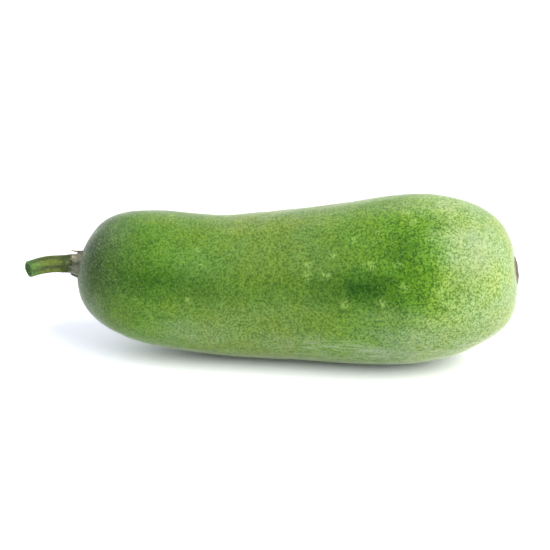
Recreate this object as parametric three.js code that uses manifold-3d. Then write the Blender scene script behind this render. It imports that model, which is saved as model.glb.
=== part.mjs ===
// Wax gourd, lying on its side: the fruit, its cut stem, the corky collar round the stem's foot and the scar
// that the flower left. Millimetres. +X runs from the stem end to the blossom end and +Z is up. The origin is
// the middle of the small flat that the fruit rests on.

import * as THREE from "three";
import { mergeVertices } from "three/addons/utils/BufferGeometryUtils.js";
import Module from "manifold-3d";

const CLEARANCE = 0.3; // between neighbouring pieces
const MERGE_DISTANCE = 1e-4;
const UP = new THREE.Vector3(0, 0, 1);

// The fruit's middle line, at even steps in X. It sags towards the floor, and both ends curl up and forwards.
const FRUIT_LENGTH = 262;
const STEM_END_X = -139.5;
const SPINE_RISE = [61.5, 48.3, 43.2, 45.1, 48.5, 55.2, 63.2];
const SPINE_SIDE = [-15, -5.5, -1.5, 0, 0, -1, -4];

// Half outline of the fruit, as distance from the stem end and radius: a sunk stem pole, a shoulder, a slight
// waist, the belly and a blunt blossom end.
const FRUIT_OUTLINE = [
  [1.2, 0],
  [2.4, 9],
  [5.6, 17.8],
  [10.6, 25.6],
  [17.4, 31.6],
  [26.5, 36.5],
  [41, 40.2],
  [61, 41.6],
  [84, 42.4],
  [110, 44.3],
  [138, 46.2],
  [166, 48.7],
  [192, 50.4],
  [215, 48.8],
  [232, 43.7],
  [245.5, 36.2],
  [253.8, 27.6],
  [257.8, 18],
  [259.2, 9],
  [259.2, 0],
];
const FRUIT_RINGS = 46;
const FRUIT_SEGMENTS = 52;

// The stem stands a little below the stem pole, leaves almost level and curves forwards, in even steps.
const STEM_DROP = 3.4;
const STEM_STEPS = [
  [0, 0, 0],
  [-7.2, -2.5, 0.3],
  [-14.2, -5.9, 0.5],
  [-20.6, -10.3, 0.4],
  [-26.2, -15.8, 0],
];
const STEM_LENGTH = 31.5;
const STEM_FOOT_DEPTH = 4;
const STEM_OUTLINE = [
  [-STEM_FOOT_DEPTH, 6.1],
  [0, 5.9],
  [4, 5.5],
  [10, 5.1],
  [17, 4.9],
  [25, 4.7],
  [STEM_LENGTH, 4.7],
];
const STEM_RIDGES = 5;
const STEM_RIDGE_DEPTH = 0.07;
const STEM_RINGS = 20;
const STEM_SEGMENTS = 30;

// The collar is a lobed ring of dry cork round the stem's foot, hanging a little low, with one pointed flake
// standing off its top.
const COLLAR_DROP = 1.3;
const COLLAR_OUTLINE = [
  [-4, 9.0],
  [0, 8.8],
  [1.4, 8.4],
  [2.8, 7.7],
  [4, 7.0],
];
const COLLAR_LOBE_DEPTH = 0.05;
const COLLAR_RINGS = 10;
const COLLAR_SEGMENTS = 60;
const FLAKE_LENGTH = 6.5;
const FLAKE_ROOT_DEPTH = 1;
const FLAKE_RADIUS = 1.5;
const FLAKE_FLATNESS = 0.55;
const FLAKE_HEIGHT = 7.0;
const FLAKE_SIDES = 12;

// The blossom scar is a thin corky disc with a thick button in its middle, a little below the blossom pole.
const SCAR_DROP = 1.8;
const SCAR_OUTLINE = [
  [-3, 8.4],
  [0, 8.4],
  [0.4, 7.6],
  [0.5, 6],
  [0.9, 5.2],
  [1.2, 4.4],
];
const SCAR_RINGS = 12;
const SCAR_SEGMENTS = 40;

const wasm = await Module();
wasm.setup();

// A smooth curve through [distance, radius] points, as Vector2s of radius and distance.
function smoothOutline(outline, steps) {
  const points = outline.map(([distance, radius]) => new THREE.Vector2(radius, distance));
  return new THREE.SplineCurve(points).getPoints(steps);
}

// Moves every point of an outline outwards, square to the outline. Points on the axis stay on it.
function grow(points, amount) {
  return points.map((point, index) => {
    const before = points[Math.max(index - 1, 0)];
    const after = points[Math.min(index + 1, points.length - 1)];
    const run = after.clone().sub(before).normalize();
    const moved = new THREE.Vector2(point.x + run.y * amount, point.y - run.x * amount);
    if (point.x < MERGE_DISTANCE) {
      moved.x = 0;
    }
    return moved;
  });
}

// Adds flat end faces to an outline that doesn't reach the axis.
function capped(points) {
  const first = new THREE.Vector2(0, points[0].y);
  const last = new THREE.Vector2(0, points[points.length - 1].y);
  return [first, ...points, last];
}

// The point of a path at a distance from its start, with the directions along it, to its side and upwards.
// Past either end the path runs on straight.
function frameAt(path, length, distance) {
  const inside = THREE.MathUtils.clamp(distance / length, 0, 1);
  const along = path.getTangent(inside);
  const centre = path.getPoint(inside).addScaledVector(along, distance - inside * length);
  const side = new THREE.Vector3().crossVectors(along, UP).normalize();
  const rise = new THREE.Vector3().crossVectors(side, along);
  return { centre, along, side, rise };
}

// Revolves an outline and bends the result along a path. swell(angle) scales the radius, so that a round
// section can have ridges or lobes.
function revolveAlong(points, segments, path, length, swell = () => 1) {
  const geometry = new THREE.LatheGeometry(points, segments);
  const position = geometry.getAttribute("position");
  for (let i = 0; i < position.count; i++) {
    const distance = position.getY(i);
    const angle = Math.atan2(position.getZ(i), position.getX(i));
    const scale = swell(angle);
    const { centre, side, rise } = frameAt(path, length, distance);
    centre.addScaledVector(side, position.getX(i) * scale);
    centre.addScaledVector(rise, position.getZ(i) * scale);
    position.setXYZ(i, centre.x, centre.y, centre.z);
  }
  return geometry;
}

// A closed geometry as a Manifold solid: shared vertices are merged, and the triangles that collapse at the
// poles are left out.
function toSolid(geometry) {
  const bare = geometry.clone();
  bare.deleteAttribute("normal");
  bare.deleteAttribute("uv");
  const merged = mergeVertices(bare, MERGE_DISTANCE);
  const corners = Array.from(merged.getIndex().array);
  const kept = [];
  for (let i = 0; i < corners.length; i += 3) {
    const [a, b, c] = corners.slice(i, i + 3);
    if (a !== b && b !== c && c !== a) {
      kept.push(a, b, c);
    }
  }
  const vertProperties = Float32Array.from(merged.getAttribute("position").array);
  const triVerts = Uint32Array.from(kept);
  return new wasm.Manifold(new wasm.Mesh({ numProp: 3, vertProperties, triVerts }));
}

function toMesh(name, solid, material) {
  const { vertProperties, triVerts } = solid.getMesh();
  const geometry = new THREE.BufferGeometry();
  geometry.setAttribute("position", new THREE.BufferAttribute(vertProperties, 3));
  geometry.setIndex(new THREE.BufferAttribute(triVerts, 1));
  geometry.computeVertexNormals();
  const mesh = new THREE.Mesh(geometry, material);
  mesh.name = name;
  return mesh;
}

const spineStep = FRUIT_LENGTH / (SPINE_RISE.length - 1);
const spine = new THREE.CatmullRomCurve3(
  SPINE_RISE.map((z, i) => new THREE.Vector3(STEM_END_X + i * spineStep, SPINE_SIDE[i], z)),
  false,
  "catmullrom",
);

// The fruit, or with an allowance the same shape grown by it, to cut the pieces that sit on the skin.
function fruitSolid(allowance) {
  const outline = grow(smoothOutline(FRUIT_OUTLINE, FRUIT_RINGS), allowance);
  const geometry = revolveAlong(outline, FRUIT_SEGMENTS, spine, FRUIT_LENGTH);
  const position = geometry.getAttribute("position");
  for (let i = 0; i < position.count; i++) {
    position.setZ(i, Math.max(position.getZ(i), -allowance));
  }
  return toSolid(geometry);
}

const stemPole = frameAt(spine, FRUIT_LENGTH, FRUIT_OUTLINE[0][0]);
const stemSeat = stemPole.centre.addScaledVector(stemPole.rise, -STEM_DROP);
const stemPath = new THREE.CatmullRomCurve3(
  STEM_STEPS.map(([x, y, z]) => new THREE.Vector3(x, y, z).add(stemSeat)),
  false,
  "catmullrom",
);

function stemSolid(allowance) {
  const ridges = (angle) => 1 + STEM_RIDGE_DEPTH * Math.cos(STEM_RIDGES * angle);
  const outline = grow(smoothOutline(STEM_OUTLINE, STEM_RINGS), allowance);
  return toSolid(revolveAlong(capped(outline), STEM_SEGMENTS, stemPath, STEM_LENGTH, ridges));
}

// A thin pointed scale that lies along the top of the stem's foot and stands just off it.
function flakeSolid() {
  const geometry = new THREE.ConeGeometry(FLAKE_RADIUS, FLAKE_LENGTH, FLAKE_SIDES);
  geometry.scale(1, 1, FLAKE_FLATNESS);
  const middle = FLAKE_LENGTH / 2 - FLAKE_ROOT_DEPTH;
  const { centre, along, side, rise } = frameAt(stemPath, STEM_LENGTH, middle);
  const place = new THREE.Matrix4().makeBasis(side, along, rise);
  place.setPosition(centre.addScaledVector(rise, FLAKE_HEIGHT));
  return toSolid(geometry.applyMatrix4(place));
}

function collarSolid() {
  const lobes = (angle) => 1 + COLLAR_LOBE_DEPTH * Math.cos(STEM_RIDGES * angle);
  const outline = capped(smoothOutline(COLLAR_OUTLINE, COLLAR_RINGS));
  const ring = revolveAlong(outline, COLLAR_SEGMENTS, stemPath, STEM_LENGTH, lobes);
  ring.translate(0, 0, -COLLAR_DROP);
  return toSolid(ring).add(flakeSolid()).subtract(stemSolid(CLEARANCE)).subtract(fruitSolid(CLEARANCE));
}

function scarSolid() {
  const pole = FRUIT_OUTLINE[FRUIT_OUTLINE.length - 1][0];
  const outline = smoothOutline(
    SCAR_OUTLINE.map(([height, radius]) => [pole + CLEARANCE + height, radius]),
    SCAR_RINGS,
  );
  const disc = revolveAlong(capped(outline), SCAR_SEGMENTS, spine, FRUIT_LENGTH);
  const drop = frameAt(spine, FRUIT_LENGTH, pole).rise.multiplyScalar(-SCAR_DROP);
  disc.translate(drop.x, drop.y, drop.z);
  return toSolid(disc).subtract(fruitSolid(CLEARANCE));
}

const skin = new THREE.MeshStandardMaterial({ color: 0x6c9143, roughness: 0.75, metalness: 0 });
const stemGreen = new THREE.MeshStandardMaterial({ color: 0x6f8440, roughness: 0.65, metalness: 0 });
const dryCork = new THREE.MeshStandardMaterial({ color: 0xa99a86, roughness: 0.9, metalness: 0 });
const darkCork = new THREE.MeshStandardMaterial({ color: 0x5b4a3c, roughness: 0.9, metalness: 0 });

const gourd = new THREE.Group();
gourd.add(toMesh("fruit", fruitSolid(0), skin));
gourd.add(toMesh("stem", stemSolid(0).subtract(fruitSolid(CLEARANCE)), stemGreen));
gourd.add(toMesh("stem_collar", collarSolid(), dryCork));
gourd.add(toMesh("blossom_scar", scarSolid(), darkCork));

export default gourd;
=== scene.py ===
"""Looks for the wax gourd: its hairy speckled rind, the cut stem, the corky collar and the blossom scar.

Objects are in metres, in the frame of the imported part: +X runs from the stem end to the blossom end and +Z
is up. Places and sizes on the gourd are written in millimetres, and so are the sizes of patterns.
"""

import math
import random

import bpy
from mathutils import Matrix, Vector
from mathutils.kdtree import KDTree


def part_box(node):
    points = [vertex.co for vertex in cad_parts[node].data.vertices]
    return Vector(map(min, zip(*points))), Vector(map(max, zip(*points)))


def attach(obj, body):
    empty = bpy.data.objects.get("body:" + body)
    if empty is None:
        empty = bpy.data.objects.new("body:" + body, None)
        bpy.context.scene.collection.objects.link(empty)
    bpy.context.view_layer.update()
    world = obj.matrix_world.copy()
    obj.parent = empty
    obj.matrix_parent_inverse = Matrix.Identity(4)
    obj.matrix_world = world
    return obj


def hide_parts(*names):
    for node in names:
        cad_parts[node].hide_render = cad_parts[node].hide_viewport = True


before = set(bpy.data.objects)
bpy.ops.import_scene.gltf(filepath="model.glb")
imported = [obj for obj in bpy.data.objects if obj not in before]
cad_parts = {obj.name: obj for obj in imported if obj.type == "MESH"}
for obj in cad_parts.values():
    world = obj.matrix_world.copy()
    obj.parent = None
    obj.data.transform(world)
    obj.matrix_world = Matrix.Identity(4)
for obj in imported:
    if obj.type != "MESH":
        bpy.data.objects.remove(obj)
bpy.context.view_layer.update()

MM = 0.001
UP = Vector((0, 0, 1))

# ---------------------------------------------------------------- camera

CAMERA_AZIMUTH = math.radians(7)
CAMERA_ELEVATION = math.radians(20)
CAMERA_DISTANCE = 0.79
CAMERA_LENS = 86
CAMERA_AIM = Vector((-22.2, -2.0, 51.0)) * MM


def place_camera():
    """The camera stands in front, a little to the right and above, and looks at the middle of the gourd."""
    across = math.cos(CAMERA_ELEVATION)
    away = Vector((
        math.sin(CAMERA_AZIMUTH) * across,
        -math.cos(CAMERA_AZIMUTH) * across,
        math.sin(CAMERA_ELEVATION),
    ))
    data = bpy.data.cameras.new("camera")
    data.lens = CAMERA_LENS
    camera = bpy.data.objects.new("camera", data)
    bpy.context.scene.collection.objects.link(camera)
    camera.location = CAMERA_AIM + away * CAMERA_DISTANCE
    camera.rotation_euler = away.to_track_quat("Z", "Y").to_euler()
    bpy.context.scene.camera = camera


# ---------------------------------------------------------------- modelling helpers


def pick_only(piece):
    """Makes a piece the one selected, active object."""
    bpy.ops.object.select_all(action="DESELECT")
    piece.select_set(True)
    bpy.context.view_layer.objects.active = piece


def apply_all(piece):
    """Applies a piece's modifiers in their order."""
    pick_only(piece)
    for modifier in list(piece.modifiers):
        bpy.ops.object.modifier_apply(modifier=modifier.name)


def add_modifier(piece, kind, **settings):
    """Adds a modifier with its settings."""
    modifier = piece.modifiers.new(kind.lower(), kind)
    for name, value in settings.items():
        setattr(modifier, name, value)


def round_off(piece, levels):
    """Adds smooth subdivision."""
    add_modifier(piece, "SUBSURF", levels=levels, render_levels=levels)


def roughen(piece, name, size, height, depth=2):
    """Adds a cloudy unevenness, with lumps of about that size and height in millimetres."""
    clouds = bpy.data.textures.new(name, "CLOUDS")
    clouds.noise_scale = size * MM
    clouds.noise_depth = depth
    clouds.noise_basis = "IMPROVED_PERLIN"
    add_modifier(piece, "DISPLACE", texture=clouds, strength=height * MM, mid_level=0.5)


def note(piece, **numbers):
    """Stores lists of numbers at the points of a piece, for its material."""
    for name, values in numbers.items():
        piece.data.attributes.new(name, "FLOAT", "POINT").data.foreach_set("value", values)


def held(value, low=0, high=1):
    """The value, held between two limits."""
    return min(max(value, low), high)


def fade(share):
    """Falls smoothly from 1 to 0 as the share goes from 0 to 1."""
    return 0.5 + 0.5 * math.cos(share * math.pi)


def uneven(turn, waves, leans):
    """The height of an uneven edge at an angle: a sum of waves, the finer ones lower."""
    return sum(math.cos(wave * turn + lean) / wave for wave, lean in zip(waves, leans))


def between(points, at):
    """The value at a place on a line of (place, value) points."""
    for (start, low), (end, high) in zip(points, points[1:]):
        if at <= end:
            return low + (high - low) * max(at - start, 0) / (end - start)
    return points[-1][1]


def finish_piece(piece, name, node, material):
    """Names a finished piece, gives it its material and puts it in the place of its CAD node."""
    piece.name = name
    piece.data.name = name
    piece.data.materials.clear()
    piece.data.materials.append(material)
    if node:
        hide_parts(node)
    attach(piece, "root")


# ---------------------------------------------------------------- material helpers


def feed(tree, socket, value):
    """Links an output to a socket, or sets the socket to a number, a vector or a colour."""
    if isinstance(value, bpy.types.NodeSocket):
        tree.links.new(value, socket)
    elif isinstance(value, tuple) and len(value) == 3 and socket.type == "RGBA":
        socket.default_value = (*value, 1)
    else:
        socket.default_value = value


def add_node(tree, kind, inputs, **settings):
    """Adds a node with its settings and feeds its inputs, which are given by name or by number."""
    node = tree.nodes.new(kind)
    for name, value in settings.items():
        setattr(node, name, value)
    for key, value in inputs.items():
        feed(tree, node.inputs[key], value)
    return node


class Recipe:
    """A node material in the making. Its sizes are in millimetres, and most methods return an output."""

    def __init__(self, name):
        self.material = bpy.data.materials.new(name)
        self.material.use_nodes = True
        self.tree = self.material.node_tree
        self.shader = self.tree.nodes["Principled BSDF"]
        place = self.add("ShaderNodeTexCoord", {}).outputs["Object"]
        in_millimetres = self.add("ShaderNodeMapping", {"Vector": place, "Scale": (1 / MM,) * 3})
        self.place = in_millimetres.outputs["Vector"]

    def add(self, kind, inputs, **settings):
        return add_node(self.tree, kind, inputs, **settings)

    def axes(self):
        """The place's X, Y and Z."""
        return self.add("ShaderNodeSeparateXYZ", {0: self.place}).outputs

    def turned(self, location=(0, 0, 0), rotation=(0, 0, 0), scale=(1, 1, 1)):
        """The place, moved, turned and stretched."""
        inputs = {"Vector": self.place, "Location": location, "Rotation": rotation, "Scale": scale}
        return self.add("ShaderNodeMapping", inputs).outputs["Vector"]

    def noise(self, size, detail=2.0, roughness=0.5, distortion=0.0, place=None):
        """Noise from 0 to 1, with lumps of that size."""
        inputs = {"Vector": place or self.place, "Scale": 1 / size, "Detail": detail}
        inputs |= {"Roughness": roughness, "Distortion": distortion}
        return self.add("ShaderNodeTexNoise", inputs).outputs["Fac"]

    def attribute(self, name):
        """A number that the mesh carries at its points."""
        return self.add("ShaderNodeAttribute", {}, attribute_name=name).outputs["Fac"]

    def spread(self, value, low, high, to_low=0.0, to_high=1.0, smooth=True):
        """Maps a value from one range to another, held at the ends."""
        inputs = {"Value": value, "From Min": low, "From Max": high, "To Min": to_low, "To Max": to_high}
        kind = "SMOOTHSTEP" if smooth else "LINEAR"
        return self.add("ShaderNodeMapRange", inputs, interpolation_type=kind).outputs["Result"]

    def work_out(self, operation, a, b, c=0.0):
        return self.add("ShaderNodeMath", {0: a, 1: b, 2: c}, operation=operation).outputs[0]

    def plus(self, a, b):
        return self.work_out("ADD", a, b)

    def times(self, a, b):
        return self.work_out("MULTIPLY", a, b)

    def larger(self, a, b):
        return self.work_out("MAXIMUM", a, b)

    def times_plus(self, a, b, c):
        """The first times the second, plus the third."""
        return self.work_out("MULTIPLY_ADD", a, b, c)

    def blend(self, share, a, b, how="MIX"):
        """One colour with a share of another laid over it."""
        node = self.add("ShaderNodeMix", {"Factor": share, 6: a, 7: b}, data_type="RGBA", blend_type=how)
        return node.outputs[2]

    def tinted(self, colour, tint):
        """A colour times another."""
        return self.blend(1.0, colour, tint, "MULTIPLY")

    def ramp(self, at, stops):
        """A colour ramp through (position, colour) stops."""
        node = self.add("ShaderNodeValToRGB", {0: at})
        elements = node.color_ramp.elements
        while len(elements) < len(stops):
            elements.new(0.5)
        for element, (position, colour) in zip(elements, stops):
            element.position = position
            element.color = (*colour, 1)
        return node.outputs["Color"]

    def bump(self, height, distance, normal=None):
        """A bump of that height, over another bump if one is given."""
        inputs = {"Strength": 1.0, "Distance": distance * MM, "Height": height}
        if normal:
            inputs["Normal"] = normal
        return self.add("ShaderNodeBump", inputs).outputs["Normal"]

    def set_all_over(self, values):
        """Sets what is the same all over the surface, on the shader itself."""
        for name, value in values.items():
            feed(self.tree, self.shader.inputs[name], value)

    def paint(self, colour, roughness, normal=None):
        """Feeds the shader and returns the finished material."""
        feed(self.tree, self.shader.inputs["Base Color"], colour)
        feed(self.tree, self.shader.inputs["Roughness"], roughness)
        if normal:
            feed(self.tree, self.shader.inputs["Normal"], normal)
        return self.material


# ---------------------------------------------------------------- rind

# The block that the rind is made from, and how it is drawn on to the fruit.
RIND_CUTS = 19
RIND_ROUNDNESS = 0.6
RIND_PASSES = 4
RIND_SMOOTHING = 6
RIND_LUMP_SIZE = 18
RIND_LUMP_HEIGHT = 0.8

# Fuller places on the rind: their middles, how far they reach, and how far the skin moves.
RIND_SWELLS = [
    ((-124, 4, 90), 34, (-1.7, 0, 1.4)),
    ((-133, -18, 38), 34, (-1.5, 0, -0.4)),
    ((112, -12, 32), 24, (1.0, 0, -0.4)),
]


def make_rind(material):
    """A rounded block of even quads, drawn on to the CAD fruit and smoothed."""
    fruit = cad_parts["fruit"]
    low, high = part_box("fruit")
    bpy.ops.object.select_all(action="DESELECT")
    bpy.ops.mesh.primitive_cube_add(size=1, location=(0, 0, 0))
    rind = bpy.context.object
    bpy.ops.object.mode_set(mode="EDIT")
    for third in (-1 / 6, 1 / 6):
        bpy.ops.mesh.select_all(action="SELECT")
        bpy.ops.mesh.bisect(plane_co=(third, 0, 0), plane_no=(1, 0, 0))
    bpy.ops.mesh.select_all(action="SELECT")
    bpy.ops.mesh.subdivide(number_cuts=RIND_CUTS)
    bpy.ops.object.mode_set(mode="OBJECT")
    add_modifier(rind, "CAST", cast_type="SPHERE", factor=RIND_ROUNDNESS, radius=0.5)
    apply_all(rind)
    rind.location = (low + high) / 2
    rind.scale = high - low
    bpy.ops.object.transform_apply(location=True, rotation=True, scale=True)
    for _ in range(RIND_PASSES):
        add_modifier(rind, "SHRINKWRAP", target=fruit, wrap_method="NEAREST_SURFACEPOINT")
        add_modifier(rind, "SMOOTH", factor=0.5, iterations=RIND_SMOOTHING)
    add_modifier(rind, "SHRINKWRAP", target=fruit, wrap_method="NEAREST_SURFACEPOINT")
    round_off(rind, 2)
    roughen(rind, "rind_lumps", RIND_LUMP_SIZE, RIND_LUMP_HEIGHT)
    apply_all(rind)
    for vertex in rind.data.vertices:
        for middle, reach, push in RIND_SWELLS:
            away = (vertex.co / MM - Vector(middle)).length / reach
            vertex.co += Vector(push) * MM * fade(min(away, 1))
        vertex.co.z = max(vertex.co.z, 0)
    bpy.ops.object.shade_smooth()
    mark_rind(rind)
    finish_piece(rind, "rind", "fruit", material)
    return rind


# Places along the gourd, with the colours of the flecks and of the ground between them.
RIND_TONES = [
    # The first rows, the near-black stem end, are partly the skin's own dark green and partly painted shade,
    # as that end faces away from the lamp.
    (-140, (0.012, 0.029, 0.004), (0.03, 0.06, 0.01)),
    (-127, (0.01, 0.029, 0.002), (0.025, 0.058, 0.005)),
    (-115, (0.018, 0.048, 0.003), (0.05, 0.102, 0.011)),
    (-90, (0.03, 0.085, 0.004), (0.075, 0.16, 0.012)),
    (-60, (0.038, 0.088, 0.007), (0.09, 0.175, 0.02)),
    (-30, (0.046, 0.093, 0.0085), (0.109, 0.186, 0.027)),
    (5, (0.043, 0.088, 0.009), (0.1, 0.176, 0.026)),
    (30, (0.034, 0.087, 0.006), (0.091, 0.184, 0.017)),
    (58, (0.021, 0.07, 0.002), (0.082, 0.18, 0.009)),
    (70, (0.03, 0.09, 0.003), (0.12, 0.23, 0.018)),
    (80, (0.05, 0.12, 0.008), (0.19, 0.29, 0.062)),
    (94, (0.08, 0.155, 0.018), (0.225, 0.31, 0.105)),
    (122, (0.11, 0.18, 0.04), (0.255, 0.32, 0.138)),
]

# The gourd's middle line as (x, z), and how far the skin lies from it as (x, radius).
MIDDLE_LINE = [(-140, 61.5), (-96, 48.3), (-52, 43.2), (-8, 45.1), (35, 48.5), (79, 55.2), (122, 63.2)]
GIRTH = [(-90, 41), (-50, 43), (-5, 46), (50, 50.4), (80, 48.5), (122, 44)]

# How the skin's colour changes round the gourd, from -1 at its underside to 1 at its crown. It is mostly
# painted light: painted sheen, paler and bluer towards the crown and the underside and least halfway up, and
# painted bounce light from the floor under the belly, where it is partly also a paler ground spot.
TONES_AND_PAINTED_LIGHT_BY_HEIGHT = [
    (-0.85, (1.55, 1.34, 1.94)),
    (-0.5, (1.44, 1.33, 1.63)),
    (-0.2, (1.28, 1.18, 1.51)),
    (0, (1.13, 1.09, 1.33)),
    (0.12, (1.02, 1.05, 1.02)),
    (0.3, (0.92, 1, 0.71)),
    (0.41, (0.95, 1.01, 0.86)),
    (0.5, (1.02, 1.03, 1.08)),
    (0.67, (1.02, 1.03, 1.2)),
    (0.76, (1.08, 1.06, 1.26)),
    (0.84, (1.1, 1.08, 1.16)),
    (0.9, (1.2, 1.14, 1.3)),
    (0.96, (1.5, 1.27, 1.85)),
    (1.0, (1.55, 1.3, 2.4)),
]

# Dark soft patches: their middles, their half length and half height, and how dark they are. They are partly
# the skin's own dark blotches and partly painted shade along the band halfway up at the front, which faces
# the camera and so shows the least sheen.
DARK_PATCHES = [
    ((-132, -27, 72), 7, 16, 0.48),
    ((-114, -40, 58), 11, 13, 0.26),
    ((-84, -43, 58), 32, 9, 0.5),
    ((-64, -43, 56), 26, 9, 0.5),
    ((-20, -43, 58), 28, 9, 0.25),
    ((18, -45, 60), 20, 11, 0.5),
    ((35, -48, 62), 17, 8, 0.9),
    ((42, -49, 56), 20, 6, 0.5),
    ((60, -46, 68), 15, 10, 0.25),
    ((70, -27, 93), 7, 7, 0.4),
    ((66, -44, 74), 15, 10, 0.2),
    ((56, -39, 82), 11, 9, 0.44),
    ((64, -49, 60), 14, 7, 0.28),
    ((88, -41, 65), 10, 8, 0.3),
    ((80, -24, 94), 9, 7, 0.22),
    ((14, -43, 70), 20, 9, 0.16),
    ((-102, -42, 45), 20, 8, 0.15),
    ((-60, 42, 62), 30, 12, 0.4),
    ((20, 46, 66), 34, 14, 0.6),
    ((62, 20, 96), 18, 12, 0.5),
    ((-84, 8, 86), 22, 10, 0.35),
]

# Pale downy patches, in the same way. The two at the stem end's rim are painted sheen; the others are the
# skin's own grey down.
DOWN_AND_SHEEN_PATCHES = [
    ((-118, -24, 85), 12, 11, 0.06),
    ((92, -30, 80), 14, 12, 0.35),
    ((64, -12, 102), 20, 8, 0.18),
    ((-60, -44, 58), 13, 12, 0.035),
    ((48, -40, 20), 18, 8, 0.42),
    ((54, -49, 45), 18, 6, 0.14),
    ((60, -47, 33), 22, 9, 0.25),
    ((20, -42, 22), 60, 7, 0.12),
    ((-66, -40, 26), 18, 9, 0.2),
    ((-128, -30, 34), 8, 12, 0.25),
    ((-136, -27, 48), 5, 13, 0.3),
    ((84, 24, 90), 16, 12, 0.35),
    ((70, 46, 40), 22, 9, 0.25),
    ((-20, 42, 30), 60, 8, 0.2),
]

# Small pale spots: their middles and their radii.
PALE_SPOTS = [
    ((-64, -31, 74), 1.8),
    ((-61, -37, 68), 1.4),
    ((-67, -44, 49), 2.0),
    ((15, -37, 77), 2.2),
    ((1, -39, 72), 2.2),
    ((1, -42, 66), 2.4),
    ((12, -42, 67), 2.6),
    ((37, -43, 74), 2.6),
    ((40, -30, 90), 1.8),
    ((59, -26, 95), 3.0),
    ((56, -19, 98), 2.2),
    ((23, -48, 52), 2.4),
    ((44, -50, 54), 3.0),
    ((56, -49, 64), 2.4),
    ((26, -32, 85), 1.8),
    ((52, -44, 76), 2.0),
]

# The spots that are strewn over the rest of the rind: how many, their radii, and where they may lie.
LOOSE_SPOTS = 26
LOOSE_SPOT_RADII = (1.3, 2.6)
LOOSE_SPOTS_BEHIND_Y = -20
LOOSE_SPOTS_BEFORE_X = 90
LOOSE_SPOT_SEED = 12

SPOT_FADE = 1.7  # A spot has faded out at so many times its radius.
PATCH_FADE = 2  # So has a patch, at so many times its half length and half height.


def strewn_spots(points):
    """The pale spots, with more at random on the back and the crown."""
    rng = random.Random(LOOSE_SPOT_SEED)
    spots = list(PALE_SPOTS)
    while len(spots) < len(PALE_SPOTS) + LOOSE_SPOTS:
        point = rng.choice(points)
        if point.y > LOOSE_SPOTS_BEHIND_Y and point.x < LOOSE_SPOTS_BEFORE_X:
            spots.append((point, rng.uniform(*LOOSE_SPOT_RADII)))
    return spots


def spotty(points):
    """How deep each point lies in a pale spot."""
    depths = [0.0] * len(points)
    tree = KDTree(len(points))
    for i, point in enumerate(points):
        tree.insert(point, i)
    tree.balance()
    for middle, radius in strewn_spots(points):
        edge = SPOT_FADE * radius
        for _, i, away in tree.find_range(Vector(middle), edge):
            depths[i] = max(depths[i], fade(away / edge))
    return depths


def patchy(points, patches):
    """How deep each point lies in a list of soft patches."""
    depths = [0.0] * len(points)
    for middle, length, height, depth in patches:
        for i, point in enumerate(points):
            away = point - Vector(middle)
            reach = math.hypot(away.x / length, away.y / height, away.z / height)
            if reach < PATCH_FADE:
                depths[i] = max(depths[i], depth * fade(reach / PATCH_FADE))
    return depths


def mark_rind(rind):
    """Notes at each point of the rind how high it lies, and how deep in a patch or a pale spot."""
    points = [vertex.co / MM for vertex in rind.data.vertices]
    heights = [(point.z - between(MIDDLE_LINE, point.x)) / between(GIRTH, point.x) for point in points]
    note(rind, height=heights, spot=spotty(points))
    note(rind, shade=patchy(points, DARK_PATCHES), down=patchy(points, DOWN_AND_SHEEN_PATCHES))


def speckled(r, along, weave):
    """Flecks and ground in the colours of a place along the gourd, bluer here and yellower there."""
    first, last = RIND_TONES[0][0], RIND_TONES[-1][0]
    place = r.spread(along, first, last, smooth=False)
    stops = [((at - first) / (last - first), fleck, ground) for at, fleck, ground in RIND_TONES]
    fleck = r.ramp(place, [(at, colour) for at, colour, _ in stops])
    ground = r.ramp(place, [(at, colour) for at, _, colour in stops])
    colour = r.blend(r.spread(weave, 0.38, 0.6), fleck, ground)
    tint = r.noise(16, 2, 0.5, 0.4, place=r.turned(location=(37, 11, 5)))
    return r.tinted(colour, r.blend(r.spread(tint, 0.35, 0.65), (0.96, 1, 1.14), (1.04, 1, 0.86)))


def tone_and_painted_light_by_height(r, colour, height, x):
    """Painted sheen and bounce light: greener halfway up, paler and bluer towards the top and the underside,
    except at the blossom end; under the belly partly also a paler ground spot.
    """
    stops = [((at + 1) / 2, tone) for at, tone in TONES_AND_PAINTED_LIGHT_BY_HEIGHT]
    toned_and_lit = r.tinted(colour, r.ramp(r.spread(height, -1, 1, smooth=False), stops))
    inner = r.spread(r.times_plus(height, -25, x), 85, 45)
    return r.blend(inner, colour, toned_and_lit)


def downy_and_dark(r, colour, patch, weave):
    """Pale downy patches, in part painted sheen, and dark soft patches, in part painted shade, through which
    the flecks still show.
    """
    # Pale grey patches, at the stem end's rim painted sheen.
    down = r.times(r.attribute("down"), r.spread(patch, 0.3, 0.7, 0.7, 1.3))
    down = r.times(down, r.spread(weave, 0.36, 0.62, 0.7, 1.25))
    colour = r.blend(down, colour, (0.26, 0.3, 0.22))
    # Dark soft patches, partly the skin's own blotches and partly painted shade.
    shade = r.noise(6, 2, 0.6, place=r.turned(location=(3, 50, 21)))
    shade = r.plus(r.spread(shade, 0.3, 0.7, 0.12, -0.12), r.attribute("shade"))
    return r.blend(shade, colour, r.tinted(colour, (0.1, 0.3, 0.0)))


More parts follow.
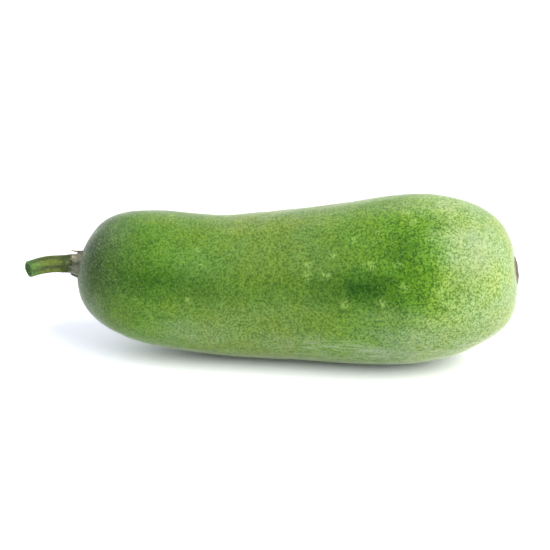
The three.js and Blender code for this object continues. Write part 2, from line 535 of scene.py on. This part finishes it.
def rind_material():
    """Downy flecked green skin with dark patches and pale spots, palest at the blossom end; painted shade
    and painted sheen are mixed into its tones and patches.
    """
    r = Recipe("speckled_rind")
    x, _, z = r.axes()
    cloud = r.noise(24, 2, 0.5)
    patch = r.noise(8, 2, 0.5, 0.3)
    weave = r.noise(1.25, 2, 0.55, 0.6)
    grain = r.noise(0.6, 2, 0.6)
    # The colours drift a little along the gourd, most of all under the belly and at the crown, towards the
    # paler tones; under the belly this is partly a paler ground spot and partly painted bounce light from
    # the floor.
    drift = r.times_plus(cloud, 24, r.times_plus(patch, 14, -19))
    drift = r.plus(drift, r.plus(r.spread(z, 56, 40, 0, 9), r.spread(z, 26, 10, 0, 7)))
    height = r.times_plus(patch, 0.2, r.plus(r.attribute("height"), -0.1))
    drift = r.plus(drift, r.spread(height, 0.6, 0.9, 0, 6))
    colour = speckled(r, r.plus(x, drift), weave)
    colour = tone_and_painted_light_by_height(r, colour, height, x)
    colour = downy_and_dark(r, colour, patch, weave)
    speck = r.spread(r.times_plus(grain, 0.5, weave), 0.6, 0.95, 0.03, 0.6)
    colour = r.blend(r.times(r.attribute("spot"), speck), colour, (0.27, 0.4, 0.1))
    # Long pale scuffs low down towards the blossom end, and fine frost at the stem end.
    scuff = r.noise(2.2, 2, 0.6, place=r.turned(rotation=(0, 0.03, 0.02), scale=(0.2, 1, 1)))
    worn = r.times(r.spread(z, 34, 20), r.spread(x, -40, 20))
    colour = r.blend(r.times(r.spread(scuff, 0.42, 0.7, 0, 0.42), worn), colour, (0.34, 0.38, 0.26))
    frost = r.times(r.spread(grain, 0.5, 0.64, 0, 0.4), r.spread(x, -92, -118))
    colour = r.blend(frost, colour, (0.12, 0.19, 0.08))
    r.set_all_over({
        "Specular IOR Level": 0.1,
        "Sheen Weight": 0.5,
        "Sheen Roughness": 0.3,
        "Sheen Tint": (1, 0.97, 0.95),
    })
    normal = r.bump(patch, 0.4, r.bump(weave, 0.1))
    return r.paint(colour, r.spread(weave, 0.3, 0.7, 0.55, 0.7), normal)


# ---------------------------------------------------------------- stem

STEM_PATH = [
    (-131.7, -12.3, 56.9),
    (-139.25, -14.95, 57.4),
    (-146.45, -17.45, 58.0),
    (-153.45, -20.85, 58.8),
    (-159.85, -25.25, 59.0),
    (-165.45, -30.75, 58.5),
]
STEM_SEAT = 8.0  # where the stem leaves the skin, along the drawn-out stem
STEM_TIP = 39.2
STEM_RADII = [(3, 6.3), (8, 5.95), (12, 5.5), (18, 5.2), (25, 5.1), (33, 4.95), (STEM_TIP, 4.9)]
STEM_SIDES = 60
STEM_STEP = 1.0

# The rings of the cut's rim and sunk face: how far back from the tip, and how far in from the side.
CUT_RINGS = [
    (0.5, 0),
    (0.15, 0.05),
    (0, 0.3),
    (0.02, 0.8),
    (0.25, 1.1),
    (0.3, 1.8),
    (0.2, 2.6),
    (0.45, 3.3),
    (0.9, 3.9),
]

# Five ridges run along the stem, as (distance, share of the radius), with fine lines between them.
RIDGES = 5
RIDGE_HEIGHTS = [(0, 0.08), (24, 0.06), (STEM_TIP, 0.025)]
CREST_SHARPNESS = 0.25
LINES_PER_RIDGE = 5
LINE_HEIGHT = 0.012
LINE_DRIFT = 2.5


def draw_out(rings, sides):
    """A tube along +X through (distance, radius) rings: a circle extruded and resized each time."""
    distance, radius = rings[0]
    bpy.ops.object.select_all(action="DESELECT")
    bpy.ops.mesh.primitive_circle_add(
        vertices=sides, radius=radius * MM, location=(distance * MM, 0, 0), rotation=(0, math.pi / 2, 0)
    )
    tube = bpy.context.object
    bpy.ops.object.transform_apply(location=True, rotation=True, scale=True)
    bpy.ops.object.mode_set(mode="EDIT")
    bpy.ops.mesh.select_all(action="SELECT")
    for next_distance, next_radius in rings[1:]:
        step = (next_distance - distance) * MM
        bpy.ops.mesh.extrude_region_move(TRANSFORM_OT_translate={"value": (step, 0, 0)})
        widen = next_radius / radius
        bpy.ops.transform.resize(value=(1, widen, widen), center_override=(next_distance * MM, 0, 0))
        distance, radius = next_distance, next_radius
    return tube


def close_off():
    """Closes the selected ring with faces round its middle, and makes all faces point outwards."""
    bpy.ops.mesh.edge_face_add()
    bpy.ops.mesh.poke()
    bpy.ops.mesh.select_all(action="SELECT")
    bpy.ops.mesh.normals_make_consistent(inside=False)
    bpy.ops.object.mode_set(mode="OBJECT")


def stem_route():
    """A smooth curve through the points of the stem's path."""
    path = bpy.data.curves.new("stem_path", "CURVE")
    path.dimensions = "3D"
    path.resolution_u = 24
    path.twist_mode = "Z_UP"
    spline = path.splines.new("BEZIER")
    spline.bezier_points.add(len(STEM_PATH) - 1)
    for point, place in zip(spline.bezier_points, STEM_PATH):
        point.co = Vector(place) * MM
        point.handle_left_type = point.handle_right_type = "AUTO"
    route = bpy.data.objects.new("stem_path", path)
    bpy.context.scene.collection.objects.link(route)
    return route


def make_stem(material):
    """A ridged stem drawn out straight, with a sunk cut face, then bent along its path."""
    rings = []
    at = STEM_RADII[0][0]
    while at < STEM_TIP - STEM_STEP:
        rings.append((at, between(STEM_RADII, at)))
        at += STEM_STEP
    tip_radius = between(STEM_RADII, STEM_TIP)
    rings += [(STEM_TIP - back, tip_radius - inward) for back, inward in CUT_RINGS]
    stem = draw_out(rings, STEM_SIDES)
    close_off()
    reach, ridge, core = [], [], []
    for vertex in stem.data.vertices:
        x, y, z = vertex.co
        turn = math.atan2(z, -y)
        crest = math.cos(RIDGES * turn) - CREST_SHARPNESS * math.cos(2 * RIDGES * turn)
        line = math.cos(LINES_PER_RIDGE * RIDGES * turn + LINE_DRIFT * math.sin(turn))
        grow = 1 + between(RIDGE_HEIGHTS, x / MM) * crest + LINE_HEIGHT * line
        reach.append(x / MM - STEM_SEAT)
        ridge.append(crest)
        core.append(math.hypot(y, z) / MM / tip_radius)
        vertex.co = (x, y * grow, z * grow)
    note(stem, reach=reach, ridge=ridge, core=core)
    route = stem_route()
    round_off(stem, 1)
    roughen(stem, "stem_lumps", 4, 0.5)
    add_modifier(stem, "CURVE", object=route, deform_axis="POS_X")
    apply_all(stem)
    bpy.data.objects.remove(route)
    bpy.ops.object.shade_smooth()
    finish_piece(stem, "cut_stem", "stem", material)


def cut_face(r, core, mottle, grain):
    """The cut: dark green with a lighter ring and core, a pale rim that is a painted highlight, and light
    grains.
    """
    colour = r.ramp(r.times_plus(mottle, 0.3, core), [
        (0.15, (0.012, 0.03, 0.004)),
        (0.4, (0.035, 0.085, 0.01)),
        (0.6, (0.012, 0.048, 0.003)),
        (0.9, (0.014, 0.055, 0.004)),
        # The last two stops make the pale rim: a painted highlight.
        (1.0, (0.05, 0.115, 0.022)),
        (1.1, (0.09, 0.155, 0.055)),
    ])
    return r.blend(r.spread(grain, 0.55, 0.68, 0, 0.55), colour, (0.15, 0.24, 0.08))


def stem_material():
    """Mottled olive ridges with painted highlights on their crests, soft dark furrows of painted shade that
    fade towards the tip, a dark foot and a dark cut.
    """
    r = Recipe("ridged_stem")
    reach = r.attribute("reach")
    ridge = r.attribute("ridge")
    core = r.attribute("core")
    blotch = r.noise(3, 3, 0.6)
    mottle = r.noise(1.6, 2, 0.6)
    grain = r.noise(0.6, 2, 0.6)
    colour = r.ramp(r.spread(r.times_plus(blotch, 8, reach), 4, 36, smooth=False), [
        (0.0, (0.05, 0.056, 0.026)),
        (0.16, (0.032, 0.044, 0.013)),
        (0.3, (0.028, 0.046, 0.009)),
        (0.43, (0.066, 0.098, 0.017)),
        (0.63, (0.075, 0.102, 0.019)),
        (0.76, (0.064, 0.104, 0.02)),
        (0.9, (0.062, 0.124, 0.028)),
    ])
    # Darker in the furrows between the ridges, fading towards the tip: painted shade.
    furrow_shade = r.spread(r.times_plus(mottle, 1.6, ridge), 1.0, -0.2, 0, 0.75)
    furrow_shade = r.times(furrow_shade, r.spread(reach, 40, 18, 0.35, 1))
    colour = r.blend(furrow_shade, colour, (0.034, 0.046, 0.018))
    # Lighter on the ridge crests: painted highlight.
    ridge_highlight = r.times(r.spread(ridge, 0.3, 0.75), r.spread(mottle, 0.35, 0.65, 0.1, 0.6))
    colour = r.blend(ridge_highlight, colour, r.tinted(colour, (1.5, 1.35, 1.1)))
    ash = r.times(r.spread(mottle, 0.5, 0.62), r.spread(reach, 14, 6, 0.1, 0.45))
    colour = r.blend(ash, colour, (0.13, 0.145, 0.08))
    colour = r.blend(r.spread(grain, 0.5, 0.8, 0, 0.3), colour, (0.16, 0.2, 0.09))
    # Veins along the stem, dark where the noise is high and light where it is low.
    vein = r.noise(1.3, 2, 0.6, 0.4, place=r.turned(rotation=(0, 0, 0.5), scale=(0.3, 1, 1)))
    colour = r.blend(r.spread(vein, 0.5, 0.62, 0, 0.45), colour, r.tinted(colour, (0.42, 0.5, 0.4)))
    colour = r.blend(r.spread(vein, 0.46, 0.36, 0, 0.5), colour, r.tinted(colour, (1.45, 1.4, 1.5)))
    on_cut = r.times(r.spread(core, 0.99, 0.93), r.spread(reach, 28, 30))
    colour = r.blend(on_cut, colour, cut_face(r, core, mottle, grain))
    height = r.plus(grain, r.times(blotch, 0.5))
    r.set_all_over({"Specular IOR Level": 0.08, "Sheen Weight": 0.05, "Sheen Roughness": 0.3})
    return r.paint(colour, r.spread(grain, 0.3, 0.7, 0.55, 0.75), r.bump(height, 0.2))


# ---------------------------------------------------------------- collar

COLLAR_RINGS = [
    (-1.0, 5.4),
    (3.4, 5.7),
    (4.6, 5.9),
    (5.0, 6.3),
    (4.5, 6.8),
    (3.4, 7.4),
    (2.2, 8.0),
    (0.8, 8.7),
    (-0.6, 9.3),
    (-2.4, 9.7),
    (-5.0, 9.2),
]
COLLAR_SIDES = 72
COLLAR_DROP = 1.7
COLLAR_NECK = 5.8  # the radius from which the collar is free of the stem
COLLAR_WAVES = (3, 5, 8, 13)
COLLAR_SEED = 3
RAGGEDNESS = 0.7
TOOTH_DEPTH = 2.2
TOOTH_TOP = 5  # the teeth of the lip lie below this height
TOP_CUT = 1.5  # how much shorter the lip is on top
UNDERSIDE_FLATNESS = 0.3

# How the thin scales are cut across, and how they narrow, fray and thin towards the tip.
SCALE_PIECES = 6
SCALE_TIP_WIDTH = 0.06
SCALE_RAGGEDNESS = 0.12
SCALE_THINNING = 0.7

# Small scales on the lip, shreds under it and a flake on top: length, width, thickness and lift of the tip.
LIP_SCALES = 9
LIP_SCALE = (3.2, 2.0, 0.6, 0.2)
LIP_SCALE_PLACE = (3.4, 0, 6.2)
SHRED = (4.6, 1.5, 0.5, -0.8)
SHRED_PLACES = [(-0.5, -3.4, -8.1), (0.6, -1.8, -8.1), (1.4, -0.2, -8.1)]
SHRED_TILT = 0.45
FLAKE = (8.6, 3.2, 1.8, 1.2)
FLAKE_PLACE = (-3.4, 0.2, 7.9)
FLAKE_TILT = 0.02
FLAKE_BOTTOM = 7.1
FLAKE_HALF_WIDTH = 2.4


def place_on_stem():
    """The matrix that takes the drawn-out stem's axis, from its seat on, to its place on the gourd."""
    foot, seat, next_point = (Vector(point) for point in STEM_PATH[:3])
    along = (next_point - foot).normalized()
    side = UP.cross(along).normalized()
    rise = along.cross(side)
    turn = Matrix((along, side, rise)).transposed().to_4x4()
    return Matrix.Translation(seat * MM) @ turn


def make_scale(length, width, thickness, lift, seed):
    """A thin pointed scale along +X, thickest at its root, that curls up towards its tip."""
    rng = random.Random(seed)
    bpy.ops.object.select_all(action="DESELECT")
    bpy.ops.mesh.primitive_cube_add(size=1)
    scale = bpy.context.object
    scale.scale = (length * MM, width * MM, thickness * MM)
    scale.location = (length * MM / 2, 0, 0)
    bpy.ops.object.transform_apply(location=True, rotation=True, scale=True)
    bpy.ops.object.mode_set(mode="EDIT")
    for cut in range(1, SCALE_PIECES):
        bpy.ops.mesh.select_all(action="SELECT")
        bpy.ops.mesh.bisect(plane_co=(length * MM * cut / SCALE_PIECES, 0, 0), plane_no=(1, 0, 0))
    bpy.ops.object.mode_set(mode="OBJECT")
    for vertex in scale.data.vertices:
        share = vertex.co.x / (length * MM)
        taper = max(1 - share**1.6, SCALE_TIP_WIDTH)
        vertex.co.y *= taper * (1 + rng.uniform(-SCALE_RAGGEDNESS, SCALE_RAGGEDNESS))
        vertex.co.z *= 1 - SCALE_THINNING * share
        vertex.co.z += lift * MM * share**2
    return scale


def make_scales(rng):
    """The small scales round the collar's lip, the shreds that hang under it and the flake on its top."""
    scales = []
    length, width, thickness, lift = LIP_SCALE
    for i in range(LIP_SCALES):
        turn = math.tau * (i + rng.uniform(-0.3, 0.3)) / LIP_SCALES
        own_length = length * rng.uniform(0.7, 1.2)
        own_width = width * rng.uniform(0.8, 1.3)
        scale = make_scale(own_length, own_width, thickness, rng.uniform(-lift, lift), i)
        place = Matrix.Rotation(turn, 4, "X") @ Matrix.Translation(Vector(LIP_SCALE_PLACE) * MM)
        scale.data.transform(place @ Matrix.Rotation(rng.uniform(0, 0.2), 4, "Y"))
        scales.append(scale)
    hung = [(SHRED, place, SHRED_TILT, 20 + i) for i, place in enumerate(SHRED_PLACES)]
    for sizes, place, tilt, seed in [*hung, (FLAKE, FLAKE_PLACE, FLAKE_TILT, 40)]:
        scale = make_scale(*sizes, seed)
        scale.data.transform(Matrix.Translation(Vector(place) * MM) @ Matrix.Rotation(tilt, 4, "Y"))
        scales.append(scale)
    return scales


def make_collar(material):
    """A lumpy ring of dry tissue round the stem's foot, with scales on its lip and a brown flake on top."""
    collar = draw_out(COLLAR_RINGS, COLLAR_SIDES)
    bpy.ops.mesh.select_all(action="SELECT")
    bpy.ops.mesh.normals_make_consistent(inside=False)
    bpy.ops.object.mode_set(mode="OBJECT")
    rng = random.Random(COLLAR_SEED)
    leans = [rng.uniform(0, math.tau) for _ in COLLAR_WAVES]
    for vertex in collar.data.vertices:
        x, y, z = vertex.co / MM
        radius = math.hypot(y, z)
        turn = math.atan2(z, -y)
        outer = held((radius - COLLAR_NECK) / 2)
        if x > 0:
            ragged = RAGGEDNESS * uneven(turn, COLLAR_WAVES, leans)
            if z < TOOTH_TOP:
                ragged -= TOOTH_DEPTH * max(math.cos(RIDGES * turn), 0) ** 2
            x += ragged * outer
        if z <= 0:
            z *= 1 - UNDERSIDE_FLATNESS * outer * held(x)
        elif x > 0:
            x -= TOP_CUT * min(outer, x / 4) * z / radius
        vertex.co = Vector((x, y, z - COLLAR_DROP * outer)) * MM
    parts = [collar, *make_scales(rng)]
    bpy.ops.object.select_all(action="DESELECT")
    for part in parts:
        part.select_set(True)
    bpy.context.view_layer.objects.active = collar
    bpy.ops.object.join()
    round_off(collar, 2)
    roughen(collar, "collar_crumbs", 1.2, 0.5, 3)
    apply_all(collar)
    reach, rise, tongue, brown = [], [], [], []
    for vertex in collar.data.vertices:
        x, y, z = vertex.co / MM
        turn = math.atan2(z + COLLAR_DROP, -y)
        reach.append(x)
        rise.append(z + COLLAR_DROP)
        tongue.append(math.cos(RIDGES * turn))
        brown.append(held(2 * (z - FLAKE_BOTTOM - max(-x, 0))) * (abs(y) < FLAKE_HALF_WIDTH))
    note(collar, reach=reach, rise=rise, tongue=tongue, brown=brown)
    collar.data.transform(place_on_stem())
    bpy.ops.object.shade_smooth()
    finish_piece(collar, "corky_collar", "stem_collar", material)


def collar_material():
    """Grey-green tissue streaked along the stem, pinkish on top and pale grey below, with a brown flake. The
    pale grey below is partly the tissue's own colour and partly painted light, where the gourd shades it
    from the lamp.
    """
    r = Recipe("dry_collar")
    reach = r.attribute("reach")
    rise = r.attribute("rise")
    blotch = r.noise(2.2, 3, 0.6)
    grain = r.noise(0.5, 3, 0.7)
    streak = r.noise(1.1, 2, 0.6, 0.3, place=r.turned(rotation=(0, 0, -0.34), scale=(0.22, 1, 1)))
    # The palest stops, on the underside, are partly the tissue's own pale grey and partly painted light,
    # where the gourd shades it from the lamp.
    tissue = r.ramp(r.spread(r.times_plus(blotch, 4, rise), -8, 10, smooth=False), [
        (0.0, (0.76, 0.75, 0.68)),
        (0.2, (0.6, 0.59, 0.5)),
        (0.38, (0.27, 0.28, 0.2)),
        (0.6, (0.09, 0.1, 0.06)),
        (0.78, (0.12, 0.125, 0.08)),
        (1.0, (0.33, 0.28, 0.19)),
    ])
    dull = r.times(r.spread(reach, 3.5, -0.5, 0, 0.7), r.spread(rise, -6, -3, 0.2, 1))
    colour = r.blend(dull, tissue, (0.1, 0.115, 0.075))
    streak = r.times(r.spread(streak, 0.46, 0.56, 0, 0.6), r.spread(rise, -7, -3, 0.4, 1))
    colour = r.blend(streak, colour, (0.06, 0.07, 0.035))
    tongue = r.spread(r.times_plus(blotch, 1.2, r.attribute("tongue")), 0.9, 1.5)
    tongue = r.times(tongue, r.spread(reach, -1, 2))
    tongue = r.times(tongue, r.spread(rise, 6, 4))
    colour = r.blend(tongue, colour, (0.025, 0.04, 0.012))
    colour = r.blend(r.spread(grain, 0.5, 0.75, 0, 0.5), colour, (0.4, 0.38, 0.32))
    flake = r.ramp(grain, [(0.35, (0.07, 0.035, 0.022)), (0.65, (0.22, 0.14, 0.1))])
    colour = r.blend(r.attribute("brown"), colour, flake)
    return r.paint(colour, 0.85, r.bump(r.plus(grain, streak), 0.3))


# ---------------------------------------------------------------- blossom scar

SCAR_CENTRE = Vector((119.6, -3.83, 60.8))
SCAR_AXIS = Vector((0.98, -0.07, 0.18))
SCAR_RINGS = [
    (-2.6, 8.0),
    (-0.6, 8.3),
    (0.5, 8.4),
    (0.95, 8.05),
    (1.2, 7.3),
    (1.0, 6.5),
    (1.1, 5.8),
    (1.5, 5.2),
    (1.8, 4.5),
    (1.75, 3.4),
    (1.4, 2.3),
    (1.15, 1.3),
    (1.4, 0.6),
]
SCAR_SIDES = 60
SCAR_SEED = 9
SCAR_WAVES = (3, 5, 7, 11)
SCAR_UNEVENNESS = 0.03
SCAR_CRACKS = 5  # lines right across, so twice as many cracks from the middle
CRACK_DEPTH = 0.3
CRACK_REACH = 7.6
CRACK_SHARPNESS = 6


def crack_line(turn):
    """How near an angle on the scar is to a crack, up to 1."""
    return 1 - abs(math.sin(SCAR_CRACKS * turn + 0.6 * math.sin(3 * turn)))


def make_scar(material):
    """A corky disc with a raised rim and a cracked button in its middle."""
    scar = draw_out(SCAR_RINGS, SCAR_SIDES)
    close_off()
    rng = random.Random(SCAR_SEED)
    leans = [rng.uniform(0, math.tau) for _ in SCAR_WAVES]
    for vertex in scar.data.vertices:
        x, y, z = vertex.co
        turn = math.atan2(z, y)
        grow = 1 + SCAR_UNEVENNESS * uneven(turn, SCAR_WAVES, leans)
        radius = math.hypot(y, z) / MM
        split = crack_line(turn) ** CRACK_SHARPNESS * min(radius / 2, 1) * (radius < CRACK_REACH)
        vertex.co = (x - CRACK_DEPTH * MM * split, y * grow, z * grow)
    round_off(scar, 2)
    roughen(scar, "scar_crumbs", 1.0, 0.35, 3)
    apply_all(scar)
    points = [vertex.co / MM for vertex in scar.data.vertices]
    cracks = [crack_line(math.atan2(point.z, point.y)) for point in points]
    note(scar, radius=[math.hypot(point.y, point.z) for point in points], crack=cracks)
    turn = SCAR_AXIS.to_track_quat("X", "Z").to_matrix().to_4x4()
    scar.data.transform(Matrix.Translation(SCAR_CENTRE * MM) @ turn)
    bpy.ops.object.shade_smooth()
    finish_piece(scar, "dry_blossom_scar", "blossom_scar", material)


def scar_material():
    """Dry brown tissue: a paler lip, a dark groove inside it, and a button with dark cracks."""
    r = Recipe("dark_scar")
    radius = r.attribute("radius")
    blotch = r.noise(2.6, 3, 0.6)
    grain = r.noise(0.5, 3, 0.7)
    colour = r.ramp(r.times_plus(grain, 0.4, r.times(blotch, 0.7)), [
        (0.35, (0.02, 0.015, 0.011)),
        (0.5, (0.055, 0.043, 0.03)),
        (0.66, (0.13, 0.1, 0.072)),
    ])
    lip = r.times_plus(blotch, 1.2, radius)
    colour = r.blend(r.spread(lip, 7.9, 8.6, 0, 0.7), colour, (0.2, 0.165, 0.12))
    button = r.times(r.spread(radius, 3.4, 4.3), r.spread(radius, 5.3, 4.7))
    colour = r.blend(r.times(button, r.spread(grain, 0.3, 0.6, 0.1, 0.6)), colour, (0.19, 0.155, 0.115))
    groove = r.times(r.spread(lip, 5.8, 6.5), r.spread(lip, 7.9, 7.4))
    groove = r.times(groove, r.spread(grain, 0.7, 0.4, 0.4, 0.95))
    crack = r.times_plus(grain, 0.7, r.attribute("crack"))
    crack = r.times_plus(r.noise(3.5, 1, place=r.turned(location=(8, 0, 3))), 0.9, crack)
    crack = r.times(r.spread(crack, 1.4, 1.75, 0, 0.75), r.spread(radius, 1, 4))
    dark = r.larger(groove, r.times(crack, r.spread(radius, 8, 7)))
    colour = r.blend(dark, colour, (0.01, 0.008, 0.006))
    return r.paint(colour, r.spread(grain, 0.3, 0.7, 0.75, 0.95), r.bump(grain, 0.35))


# ---------------------------------------------------------------- hairs

HAIR_LENGTH = 1.4 * MM
HAIR_RADIUS = 0.028 * MM
HAIR_SIDES = 3
HAIR_SCALES = (0.5, 1.3)
HAIR_TILT = math.radians(40)
HAIRS_PER_SQUARE_METRE = 640_000
HAIR_SEED = 4
LOWEST_HAIR = 2 * MM


def one_hair():
    """A thin upright spike on three sides, standing on the origin."""
    bpy.ops.object.select_all(action="DESELECT")
    bpy.ops.mesh.primitive_cone_add(
        vertices=HAIR_SIDES,
        radius1=HAIR_RADIUS,
        radius2=0,
        depth=HAIR_LENGTH,
        location=(0, 0, HAIR_LENGTH / 2),
    )
    hair = bpy.context.object
    bpy.ops.object.transform_apply(location=True, rotation=True, scale=True)
    return hair


def hair_planter(hair):
    """A node tree that scatters tilted copies of a hair over a skin and keeps only the hairs."""
    tree = bpy.data.node_groups.new("hair_planter", "GeometryNodeTree")
    tree.interface.new_socket("Skin", in_out="INPUT", socket_type="NodeSocketGeometry")
    tree.interface.new_socket("Hairs", in_out="OUTPUT", socket_type="NodeSocketGeometry")
    skin = add_node(tree, "NodeGroupInput", {})
    place = add_node(tree, "GeometryNodeInputPosition", {})
    axes = add_node(tree, "ShaderNodeSeparateXYZ", {0: place.outputs[0]})
    compared = {0: axes.outputs["Z"], 1: LOWEST_HAIR}
    above = add_node(tree, "ShaderNodeMath", compared, operation="GREATER_THAN")
    plant = add_node(tree, "GeometryNodeDistributePointsOnFaces", {
        "Mesh": skin.outputs[0],
        "Selection": above.outputs[0],
        "Density": HAIRS_PER_SQUARE_METRE,
        "Seed": HAIR_SEED,
    })
    lean = add_node(tree, "FunctionNodeRandomValue", {
        0: (-HAIR_TILT, -HAIR_TILT, -math.pi),
        1: (HAIR_TILT, HAIR_TILT, math.pi),
        "Seed": HAIR_SEED + 1,
    }, data_type="FLOAT_VECTOR")
    turn = add_node(tree, "FunctionNodeEulerToRotation", {0: lean.outputs[0]})
    tilt_inputs = {0: plant.outputs["Rotation"], 1: turn.outputs[0]}
    tilt = add_node(tree, "FunctionNodeRotateRotation", tilt_inputs, rotation_space="LOCAL")
    shortest, longest = HAIR_SCALES
    size = add_node(tree, "FunctionNodeRandomValue", {2: shortest, 3: longest, "Seed": HAIR_SEED + 2})
    pattern = add_node(tree, "GeometryNodeObjectInfo", {"Object": hair})
    stand = add_node(tree, "GeometryNodeInstanceOnPoints", {
        "Points": plant.outputs["Points"],
        "Instance": pattern.outputs["Geometry"],
        "Rotation": tilt.outputs[0],
        "Scale": size.outputs[1],
    })
    real = add_node(tree, "GeometryNodeRealizeInstances", {0: stand.outputs[0]})
    add_node(tree, "NodeGroupOutput", {0: real.outputs[0]})
    return tree


def grow_hairs(skin, material):
    """Plants hairs all over a copy of the skin, each a little tilted, and keeps only the hairs."""
    hair = one_hair()
    coat = skin.copy()
    coat.data = skin.data.copy()
    bpy.context.scene.collection.objects.link(coat)
    add_modifier(coat, "NODES", node_group=hair_planter(hair))
    apply_all(coat)
    bpy.data.objects.remove(hair)
    finish_piece(coat, "rind_hairs", None, material)


def hair_material():
    """Greyish hair by the stem, yellower in the middle and paler at the blossom end."""
    r = Recipe("pale_hair")
    x, _, _ = r.axes()
    along = r.spread(r.times_plus(r.noise(14), 30, x), -125, 137, smooth=False)
    colour = r.ramp(along, [
        (0.0, (0.36, 0.44, 0.28)),
        (0.3, (0.38, 0.47, 0.2)),
        (0.5, (0.3, 0.42, 0.14)),
        (0.75, (0.32, 0.44, 0.16)),
        (1.0, (0.62, 0.68, 0.42)),
    ])
    return r.paint(colour, r.spread(r.noise(3), 0.3, 0.7, 0.5, 0.7))


# ---------------------------------------------------------------- floor and light

FLOOR_SIDE = 12

# The white tent: its tint, how much it darkens towards the top, and where a soft glow lies in it.
SKY_TINT = (0.97, 0.99, 1.07)
SKY_FADE = 0.35
GLOW_DIRECTION = Vector((-0.87, 0.35, 0.34))
GLOW_STRENGTH = 2.2
GLOW_FOCUS = 4.0

# The soft round lamp: where it stands and how far away, its width, its power in watts and its tint.
LAMP_DIRECTION = Vector((0.69, -0.36, 0.63))
LAMP_DISTANCE = 1.5
LAMP_WIDTH = 1.6
LAMP_POWER = 46
LAMP_TINT = (1, 0.985, 0.95)


def make_floor():
    """A plain pale floor, wide enough to run out of sight."""
    r = Recipe("pale_floor")
    colour = r.blend(r.noise(40, 2), (0.88, 0.89, 0.91), (0.89, 0.9, 0.92))
    r.set_all_over({"Specular IOR Level": 0.0})
    bpy.ops.object.select_all(action="DESELECT")
    bpy.ops.mesh.primitive_plane_add(size=FLOOR_SIDE, location=(0, 0, 0))
    floor = bpy.context.object
    floor.name = "floor"
    floor.data.materials.append(r.paint(colour, 0.9))


def make_tent():
    """A white tent that glows softly behind on the left."""
    world = bpy.data.worlds.new("tent")
    bpy.context.scene.world = world
    world.use_nodes = True
    tree = world.node_tree
    place = add_node(tree, "ShaderNodeTexCoord", {}).outputs["Generated"]
    axes = add_node(tree, "ShaderNodeSeparateXYZ", {0: place})
    faded = {0: axes.outputs["Z"], 1: -SKY_FADE, 2: 1}
    sky = add_node(tree, "ShaderNodeMath", faded, operation="MULTIPLY_ADD")
    towards = {0: place, 1: GLOW_DIRECTION.normalized()}
    facing = add_node(tree, "ShaderNodeVectorMath", towards, operation="DOT_PRODUCT").outputs["Value"]
    narrowed = {0: facing, 1: GLOW_FOCUS, 2: -GLOW_FOCUS}
    focus = add_node(tree, "ShaderNodeMath", narrowed, operation="MULTIPLY_ADD")
    glow = add_node(tree, "ShaderNodeMath", {0: focus.outputs[0]}, operation="EXPONENT")
    both = {0: glow.outputs[0], 1: GLOW_STRENGTH, 2: sky.outputs[0]}
    level = add_node(tree, "ShaderNodeMath", both, operation="MULTIPLY_ADD")
    background = tree.nodes["Background"]
    feed(tree, background.inputs["Color"], SKY_TINT)
    feed(tree, background.inputs["Strength"], level.outputs[0])


def make_lamp():
    """A big round soft lamp in front on the right."""
    lamp = bpy.data.lights.new("soft_lamp", "AREA")
    lamp.shape = "DISK"
    lamp.size = LAMP_WIDTH
    lamp.energy = LAMP_POWER
    lamp.color = LAMP_TINT
    holder = bpy.data.objects.new("soft_lamp", lamp)
    bpy.context.scene.collection.objects.link(holder)
    holder.location = LAMP_DIRECTION.normalized() * LAMP_DISTANCE
    holder.rotation_euler = LAMP_DIRECTION.to_track_quat("Z", "Y").to_euler()


place_camera()
make_floor()
make_tent()
make_lamp()
bpy.context.scene.view_settings.view_transform = "Standard"
make_stem(stem_material())
make_collar(collar_material())
make_scar(scar_material())
rind = make_rind(rind_material())
grow_hairs(rind, hair_material())
